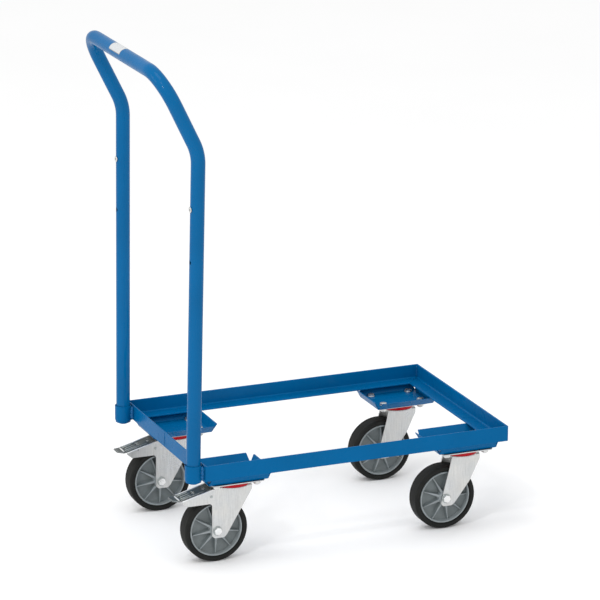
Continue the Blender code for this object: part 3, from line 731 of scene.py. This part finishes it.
def build_bar():
    """Bent tube with its bore, and the four holes in the -X side of its legs."""
    radii = (BEND_LOW_R, BEND_TOP_R, BEND_TOP_R, BEND_LOW_R)
    path = fillet_path(bar_corners(), radii, BEND_STEPS)
    outer = tube_rings(path, [TUBE_R - TUBE_SKIN] * len(path), TUBE_SIDES)
    inner = tube_rings(path, [TUBE_R - TUBE_WALL] * len(path), TUBE_SIDES)
    bm = bmesh.new()
    loft(bm, outer + list(reversed(inner)), closed=True)
    ob = piece("push_bar_tube", bm, [BAR_BLUE], "push_bar", ["push_bar"], sharp=30.0)
    cutters = [hole_cutter(bar_point(sy, z)) for sy in (-1, 1) for z in BAR_HOLES]
    for cutter in cutters:
        hole = ob.modifiers.new("hole", "BOOLEAN")
        hole.operation = "DIFFERENCE"
        hole.solver = "EXACT"
        hole.object = cutter
    apply_modifiers(ob)
    for cutter in cutters:
        bpy.data.objects.remove(cutter, do_unlink=True)


def apply_modifiers(ob):
    graph = bpy.context.evaluated_depsgraph_get()
    mesh = bpy.data.meshes.new_from_object(ob.evaluated_get(graph))
    ob.modifiers.clear()
    ob.data = mesh


def hole_cutter(point):
    """Cylinder from outside the -X side of a leg to inside its bore."""
    low = -TUBE_R - 0.003
    high = low + 0.012
    bm = bmesh.new()
    lathe(bm, [(0, low), (HOLE_R, low), (HOLE_R, high), (0, high)], 32, point, "X", False)
    bmesh.ops.recalc_face_normals(bm, faces=bm.faces[:])
    mesh = bpy.data.meshes.new("hole_cutter")
    bm.to_mesh(mesh)
    bm.free()
    return new_object("hole_cutter", mesh)


def build_inserts():
    """Threaded inserts: rounded flange outside, grooved sleeve inside."""
    face = -TUBE_R - 0.0004
    profile = [(r, face + h) for r, h in INSERT_FLANGE]
    for k in range(INSERT_THREADS):
        down = INSERT_PITCH * k
        profile += [(0.0024, face + 0.0068 - down), (0.0021, face + 0.0064 - down)]
    for tag, sy in SIDES:
        bm = bmesh.new()
        lathe(bm, profile, 40, bar_point(sy, BAR_HOLES[1]), "X")
        piece("thread_insert_" + tag, bm, [BOLT_ZINC], "push_bar", ["rivet_nut_" + tag])


def label_grid(radius):
    """Points on one face of the label: rows along the bar, with the corners rounded off."""
    axis_x, _, axis_z = bar_corners()[2]
    span = LABEL_LAST - LABEL_FIRST
    grid = []
    for j in range(LABEL_ROWS + 1):
        t = LABEL_FIRST + span * j / LABEL_ROWS
        edge = min(j, LABEL_ROWS - j) / LABEL_ROWS * span * TUBE_R
        rise = max(0.0, LABEL_CORNER - edge)
        inset = LABEL_CORNER - math.sqrt(max(0.0, LABEL_CORNER ** 2 - rise ** 2))
        half = LABEL_WIDTH / 2 - inset
        row = []
        for i in range(LABEL_COLUMNS + 1):
            y = LABEL_Y - half + 2 * half * i / LABEL_COLUMNS
            row.append((axis_x - radius * math.sin(t), y, axis_z + radius * math.cos(t)))
        grid.append(row)
    return grid


def build_label():
    """Blank label wrapped round the cross bar, with a darker line of cells at its edge."""
    bm = bmesh.new()
    skins = []
    for radius in (LABEL_R, LABEL_R - LABEL_THICK):
        skins.append([[bm.verts.new(p) for p in row] for row in label_grid(radius)])
    for j in range(LABEL_ROWS):
        for i in range(LABEL_COLUMNS):
            on_edge = min(i, LABEL_COLUMNS - 1 - i, j, LABEL_ROWS - 1 - j) == 0
            for skin in skins:
                face = bm.faces.new((skin[j][i], skin[j][i + 1], skin[j + 1][i + 1], skin[j + 1][i]))
                face.material_index = 1 if on_edge else 0
    rim = [(0, i) for i in range(LABEL_COLUMNS)]
    rim += [(j, LABEL_COLUMNS) for j in range(LABEL_ROWS)]
    rim += [(LABEL_ROWS, i) for i in range(LABEL_COLUMNS, 0, -1)]
    rim += [(j, 0) for j in range(LABEL_ROWS, 0, -1)]
    for (j, i), (q, p) in zip(rim, rim[1:] + rim[:1]):
        bm.faces.new((skins[0][j][i], skins[0][q][p], skins[1][q][p], skins[1][j][i]))
    piece("blank_label", bm, [LABEL, LABEL_EDGE], "push_bar")


# ---------------------------------------------------------------- casters
def washer(bm, centre, axis, low, high, bore, r, material=0):
    """Flat ring between two heights, its outer edges chamfered."""
    cut = min(0.0003, abs(high - low) / 3)
    step = cut if high > low else -cut
    profile = [(bore, low), (r - cut, low), (r, low + step)]
    profile += [(r, high - step), (r - cut, high), (bore, high)]
    lathe(bm, profile, 36, centre, axis, material=material)


def build_plate_bolts(tag):
    """Hexagon bolts through tray and plate with washers, nuts and thread ends."""
    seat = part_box("tray_" + tag)[0].z + TRAY_SEAT
    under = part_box("caster_plate_" + tag)[0].z
    head_foot = seat + 0.0009
    nut_foot = under - 0.0012
    for k in range(1, 5):
        name = "plate_bolt_%s_%d" % (tag, k)
        lo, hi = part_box(name)
        mid = (lo + hi) / 2
        centre = (mid.x, mid.y, 0.0)
        turn = math.radians(17 * k + len(tag) * 7)
        bm = bmesh.new()
        washer(bm, centre, "Z", seat - 0.0002, head_foot, 0.0041, 0.0078)
        hexagon(bm, centre, "Z", head_foot, hi.z, 0.0063, turn)
        washer(bm, centre, "Z", under - 0.0001, nut_foot, 0.0041, 0.0076)
        hexagon(bm, centre, "Z", nut_foot, under - 0.0064, 0.0061, turn + 0.4)
        lathe(bm, thread_profile(0.0039, under - 0.0050, lo.z), 20, centre, "Z", False)
        piece("bolt_set_%s_%d" % (tag, k), bm, [BOLT_ZINC], "frame", [name])


def thread_profile(r, start, end):
    """Open lathe profile of a thread end with its chamfer."""
    turns = max(2, int(abs(end - start) / THREAD_PITCH))
    step = (end - start) / turns
    profile = [(0.0, start), (r, start)]
    for k in range(turns):
        profile += [(r * 0.92, start + step * (k + 0.35)), (r, start + step * (k + 0.8))]
    profile += [(r * 0.85, end), (0.0, end)]
    return profile


def build_plate(tag):
    """Caster plate, rounded more along the under side of its rim than elsewhere."""
    name = "caster_plate_" + tag
    lo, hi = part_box(name)

    def lower_rim(middle, _direction):
        inset = min(middle.x - lo.x, hi.x - middle.x, middle.y - lo.y, hi.y - middle.y)
        return middle.z < lo.z + 0.0002 and inset < 0.008

    bm = shell_of(name)
    soften(bm, 0.0014, 3, 35.0, lower_rim)
    soften(bm, 0.0004, 2, 35.0)
    piece(name + "_pressed", bm, [ZINC], "frame", [name])


def build_head(tag):
    """Kingpin with its riveted head, and the red ring over the balls."""
    lo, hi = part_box("kingpin_" + tag)
    mid = (lo + hi) / 2
    centre = (mid.x, mid.y, 0.0)
    profile = [(0.0, hi.z), (0.0050, hi.z), (0.0060, hi.z - 0.0010)]
    profile += [(r, lo.z + h) for r, h in RIVETED_HEAD]
    bm = bmesh.new()
    lathe(bm, profile, 40, centre, closed=False)
    piece("kingpin_riveted_" + tag, bm, [BOLT_ZINC], "frame", ["kingpin_" + tag])

    lo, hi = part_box("seal_ring_" + tag)
    r = (hi.x - lo.x) / 2
    skirt = r - 0.0026
    inner = 0.0080
    profile = [(skirt, lo.z), (skirt, lo.z + 0.0020), (r - 0.0008, lo.z + 0.0021), (r, lo.z + 0.0028)]
    profile += [(r, hi.z - 0.0024), (r - 0.0006, hi.z - 0.0012), (r - 0.0018, hi.z - 0.0003)]
    profile += [(r - 0.0030, hi.z), (inner, hi.z), (inner, lo.z)]
    bm = bmesh.new()
    lathe(bm, profile, 72, centre)
    piece("red_ring_" + tag, bm, [RED], "fork_" + tag, ["seal_ring_" + tag])


def build_fork(tag, braked):
    """Pressed fork: wide folds at the crown, small radii on its cut edges in lighter zinc as a painted
    highlight.
    """
    name = "fork_" + tag
    lo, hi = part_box(name)
    mid_y = (lo.y + hi.y) / 2
    half = (hi.y - lo.y) / 2

    def crown_fold(middle, direction):
        at_side = abs(abs(middle.y - mid_y) - half) < 0.0006
        return middle.z > hi.z - 0.0004 and at_side and abs(direction.y) < 0.0006

    bm = shell_of(name)
    soften(bm, 0.0030, 4, 60.0, crown_fold)
    soften(bm, 0.00055, 2, 35.0, material=1)
    swivel = box_centre("seal_ring_" + tag)
    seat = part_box("seal_ring_" + tag)[1].x - swivel.x - 0.0006
    profile = [(seat + out, hi.z + rise) for out, rise in RING_SEAT]
    lathe(bm, profile, 72, (swivel.x, swivel.y, 0.0))
    if braked:
        axle_x = box_centre("axle_bolt_" + tag).x
        for side in (-1, 1):
            dress_cheek(bm, axle_x, mid_y, half, side)
    piece(name + "_pressed", bm, [ZINC, ZINC_EDGE_HIGHLIGHT, GREY_ZINC_AND_SHADE], name, [name])


def dress_cheek(bm, axle_x, mid_y, half, side):
    """Rounded edge in lighter zinc along the top of a braked cheek as a painted highlight, and the
    pedal's rivet.
    """
    line = [(axle_x + u, mid_y + side * (half - 0.0012), z) for u, z in CHEEK_TOP]
    path = fillet_path(line, [0.020], 6)
    rope(bm, path, [0.0013] * len(path), 1)
    y = mid_y + side * half
    dome = [(r, y + side * out) for r, out in RIVET_DOME]
    lathe(bm, dome, 24, (axle_x + RIVET_X, 0.0, RIVET_Z), "Y", False, 2)


def build_axle(tag):
    """Hexagon bolt through the wheel, with washers, nut and thread end; the bolt is pale as a painted
    highlight and the washers are darker as painted shadow.
    """
    name = "axle_bolt_" + tag
    lo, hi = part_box(name)
    mid = (lo + hi) / 2
    fork_lo, fork_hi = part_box("fork_" + tag)
    centre = (mid.x, 0.0, mid.z)
    near = fork_lo.y
    far = fork_hi.y
    bm = bmesh.new()
    washer(bm, centre, "Y", near + 0.0001, near - 0.0012, 0.0039, 0.0092, 1)
    hexagon(bm, centre, "Y", near - 0.0012, lo.y, 0.0066, math.radians(12))
    lathe(bm, [(0, near), (AXLE_R, near), (AXLE_R, far), (0, far)], 24, centre, "Y", False)
    washer(bm, centre, "Y", far - 0.0001, far + 0.0010, 0.0039, 0.0092, 1)
    hexagon(bm, centre, "Y", far + 0.0010, far + 0.0062, 0.0064, math.radians(40))
    lathe(bm, thread_profile(AXLE_R, far + 0.0050, hi.y), 20, centre, "Y", False)
    piece("axle_set_" + tag, bm, [BOLT_PAINTED_HIGHLIGHT, GREY_ZINC_AND_SHADE], "fork_" + tag, [name])


def build_tyre(tag):
    """Rubber tyre: crowned tread, rounded shoulders, moulding lines and a bead step."""
    lo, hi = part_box("tyre_" + tag)
    mid = (lo + hi) / 2
    r = (hi.z - lo.z) / 2
    w = (hi.y - lo.y) / 2
    shoulder = 0.0040
    side = [(TYRE_SEAT + out, -w + inset) for out, inset in TYRE_BEAD]
    side.append((r - 0.0042, -w))
    for k in range(1, 8):
        t = math.radians(90) * k / 8
        side.append((r - shoulder + shoulder * math.sin(t) - 0.0004, -w + shoulder * (1 - math.cos(t))))

    def moulding_line(y):
        return [(r - 0.00008, y - 0.0005), (r - 0.00035, y), (r - 0.00008, y + 0.0005)]

    tread = [(r - 0.0003, -w + shoulder)] + moulding_line(-0.0072)
    tread += [(r, 0.0)] + moulding_line(0.0072) + [(r - 0.0003, w - shoulder)]
    profile = side + tread + [(a, -b) for a, b in reversed(side)]
    bm = bmesh.new()
    lathe(bm, profile, 120, mid, "Y")
    piece("tyre_moulded_" + tag, bm, [RUBBER], "wheel_" + tag, ["tyre_" + tag], sharp=50.0)


def rim_rows(outer, hub_h):
    """(radius, height, rib height) from the bore to the outer ring; None where there is no rib."""
    ring_in = outer - 0.0032
    ring_h = 0.0145
    rows = [(0.0044, hub_h - 0.0006, None), (0.0052, hub_h, None), (HUB_R - 0.0010, hub_h, None)]
    rows += [(HUB_R - 0.0002, hub_h - 0.0006, None), (HUB_R, hub_h - 0.0020, None)]
    web_start = HUB_R + 0.0004
    for k in range(WEB_STEPS + 1):
        s = k / WEB_STEPS
        r = web_start + (ring_in - 0.0006 - web_start) * s
        dish = 0.0036 + 0.0018 * (1 - s) ** 3 + 0.0012 * max(0.0, s - 0.85) / 0.15
        rows.append((r, dish, 0.0150 - 0.0042 * s))
    rows += [(ring_in, ring_h - 0.0008, None), (ring_in + 0.0005, ring_h - 0.0001, None)]
    rows += [(ring_in + 0.0012, ring_h, None), (outer - 0.0008, ring_h, None)]
    rows.append((outer, ring_h - 0.0008, None))
    return rows


def rim_side(bm, mid, side, rows, phase):
    """Skin of one side of the wheel centre, as a list of columns of vertices."""
    grid = []
    for rib in range(RIB_COUNT):
        middle = phase + 2 * math.pi * rib / RIB_COUNT
        for edge, shift, lift in RIB_SECTION:
            grid.append([rim_vertex(bm, mid, side, row, middle, edge, shift, lift) for row in rows])
        for k in range(1, FIELD_STEPS):
            grid.append([field_vertex(bm, mid, side, row, middle, k / FIELD_STEPS) for row in rows])
    columns = len(RIB_SECTION) + FIELD_STEPS - 1
    for i in range(len(grid)):
        left = grid[i - 1]
        here = grid[i]
        for k in range(len(rows) - 1):
            face = bm.faces.new((left[k], here[k], here[k + 1], left[k + 1]))
            in_field = rows[k][2] is not None and rows[k + 1][2] is not None
            # Rib tops, hub and outer ring take the lighter grey, a painted highlight.
            face.material_index = 0 if in_field and i % columns not in RIB_TOP else 1
    return grid


def build_rim(tag):
    """Moulded wheel centre: tapered ribs on each side of a thin web, hub and outer ring; rib tops, hub
    and ring carry a lighter grey as painted highlight.
    """
    lo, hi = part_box("rim_" + tag)
    mid = (lo + hi) / 2
    rows = rim_rows((hi.z - lo.z) / 2, (hi.y - lo.y) / 2)
    phase = math.radians(RIB_PHASE[tag])
    bm = bmesh.new()
    front, back = [rim_side(bm, mid, side, rows, phase) for side in (-1, 1)]
    for row in (0, len(rows) - 1):
        for i in range(len(front)):
            bm.faces.new((front[i - 1][row], front[i][row], back[i][row], back[i - 1][row]))
    piece("rim_moulded_" + tag, bm, [RIM, RIM_HIGHLIGHT], "wheel_" + tag, ["rim_" + tag], sharp=45.0)


def rib_half(r):
    """Half the width of a rib, which grows from the outer ring to the hub."""
    return 0.0009 + 0.0019 * max(0.0, (0.0490 - r) / 0.0360) ** 1.4


def rim_vertex(bm, mid, side, row, angle, edge, shift, lift):
    """Vertex on a rib's cross-section; edge and shift place it across the rib."""
    r, low, rib_top = row
    top = low if rib_top is None else max(rib_top, low)
    turn = angle + (edge * rib_half(r) + shift) / max(r, RIB_START)
    height = low + (top - low) * lift
    return bm.verts.new((mid.x + r * math.cos(turn), mid.y + side * height, mid.z + r * math.sin(turn)))


def field_vertex(bm, mid, side, row, angle, share):
    """Vertex of the web at a share of the way from one rib to the next."""
    r, low, rib_top = row
    foot = (rib_half(r) + RIB_FOOT) / max(r, RIB_START)
    turn = angle + foot + share * (2 * math.pi / RIB_COUNT - 2 * foot)
    return bm.verts.new((mid.x + r * math.cos(turn), mid.y + side * low, mid.z + r * math.sin(turn)))


def build_pedal(tag):
    """Foot pedal: folded sheet with rounded edges in lighter zinc as a painted highlight, raised tread
    bars and a spring leaf below, painted near white as painted light.
    """
    name = "brake_pedal_" + tag
    lo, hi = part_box(name)
    axle_x = box_centre("axle_bolt_" + tag).x
    start = np.array((axle_x + PEDAL_START[0], (lo.y + hi.y) / 2, PEDAL_START[1]))
    slope = math.atan2(*PEDAL_RISE)
    run = np.array((math.cos(slope), 0.0, math.sin(slope)))
    up = np.array((-math.sin(slope), 0.0, math.cos(slope)))
    across = np.array((0.0, 1.0, 0.0))
    bm = shell_of(name)
    # The pedal's rounded edges take the lighter zinc, a painted highlight.
    soften(bm, 0.0006, 2, 30.0, material=1)
    for u, v, lengthwise, half, radius, material in PEDAL_BARS:
        direction = run if lengthwise else across
        tread_bar(bm, start + run * u + across * v, direction, half, radius, up, material)
    finish = [DARK_ZINC, ZINC_EDGE_HIGHLIGHT, GREY_ZINC_AND_SHADE]
    piece(name + "_pressed", bm, finish, "brake_" + tag, [name])

    outline = rounded(LEAF_CORNERS, [0.002] * 4)
    middle = np.array(LEAF_MIDDLE)
    levels = []
    for depth, shrink in LEAF_LEVELS:
        ring = [middle + (np.array(p) - middle) * shrink for p in outline]
        levels.append([tuple(start + run * u + across * v + up * depth) for u, v in ring])
    leaf = bmesh.new()
    made = loft(leaf, levels)
    leaf.faces.new(made[0])
    leaf.faces.new(made[-1])
    piece("spring_leaf_" + tag, leaf, [SPRING_LEAF_PAINTED_LIGHT], "brake_" + tag)


def tread_bar(bm, centre, direction, half, radius, up, material):
    """Raised bar with round ends, half sunk in the sheet."""
    points = []
    radii = []
    for k in range(9):
        t = -1 + 2 * k / 8
        points.append(centre + direction * half * t + up * 0.0002)
        radii.append(radius * math.sqrt(max(0.04, 1 - abs(t) ** 6)))
    rope(bm, points, radii, material)


def build_casters():
    for tag, sx, _ in CORNERS:
        braked = sx < 0
        build_plate_bolts(tag)
        build_plate(tag)
        build_head(tag)
        build_fork(tag, braked)
        build_axle(tag)
        build_tyre(tag)
        build_rim(tag)
        if braked:
            build_pedal(tag)


# ---------------------------------------------------------------- stage, light and camera
def build_stage():
    """Plain pale floor, large enough to fill every view from above it."""
    floor_mesh = bpy.data.meshes.new("studio_floor")
    bm = bmesh.new()
    ticks = [-FLOOR_REACH + 2 * FLOOR_REACH * k / FLOOR_STEPS for k in range(FLOOR_STEPS + 1)]
    rows = [[bm.verts.new((x, y, 0.0)) for x in ticks] for y in ticks]
    for a, b in zip(rows, rows[1:]):
        for i in range(FLOOR_STEPS):
            bm.faces.new((a[i], a[i + 1], b[i + 1], b[i]))
    bm.to_mesh(floor_mesh)
    bm.free()
    mat, tree, shader, place = start_material("studio_white", 0.9, specular=0.0)
    tones = [(NOISE_LOW, (0.945, 0.945, 0.945)), (NOISE_HIGH, (0.955, 0.955, 0.955))]
    tree.links.new(ramp(tree, noise(tree, place, 2.0), tones), shader.inputs["Base Color"])
    tree.links.new(remap(tree, noise(tree, place, 6.0), 0.88, 0.94), shader.inputs["Roughness"])
    floor_mesh.materials.append(mat)
    floor = new_object("studio_floor", floor_mesh)


def area_light(name, place, target, size, power):
    data = bpy.data.lights.new(name, "AREA")
    data.shape = "DISK"
    data.size = size
    data.energy = power
    ob = new_object(name, data)
    ob.location = place
    ob.rotation_euler = (Vector(target) - Vector(place)).to_track_quat("-Z", "Y").to_euler()


def build_light():
    world = bpy.data.worlds.new("studio_world")
    world.use_nodes = True
    background = world.node_tree.nodes["Background"]
    background.inputs["Color"].default_value = (1.0, 1.0, 1.0, 1.0)
    background.inputs["Strength"].default_value = 1.0
    bpy.context.scene.world = world
    for name, place, target, size, power in LIGHTS:
        area_light(name, place, target, size, power)
    bpy.context.scene.view_settings.view_transform = "Standard"


def build_camera():
    """The camera that was fitted to the photograph."""
    data = bpy.data.cameras.new("studio_camera")
    data.sensor_width = 36.0
    data.lens = CAMERA_LENS
    data.clip_end = 60.0
    ob = new_object("studio_camera", data)
    ob.location = CAMERA_PLACE
    ob.rotation_euler = [math.radians(a) for a in CAMERA_TURN]
    bpy.context.scene.camera = ob


build_rails()
build_trays()
build_sockets()
build_bar()
build_inserts()
build_label()
build_casters()
build_stage()
build_light()
build_camera()

bpy.context.view_layer.update()
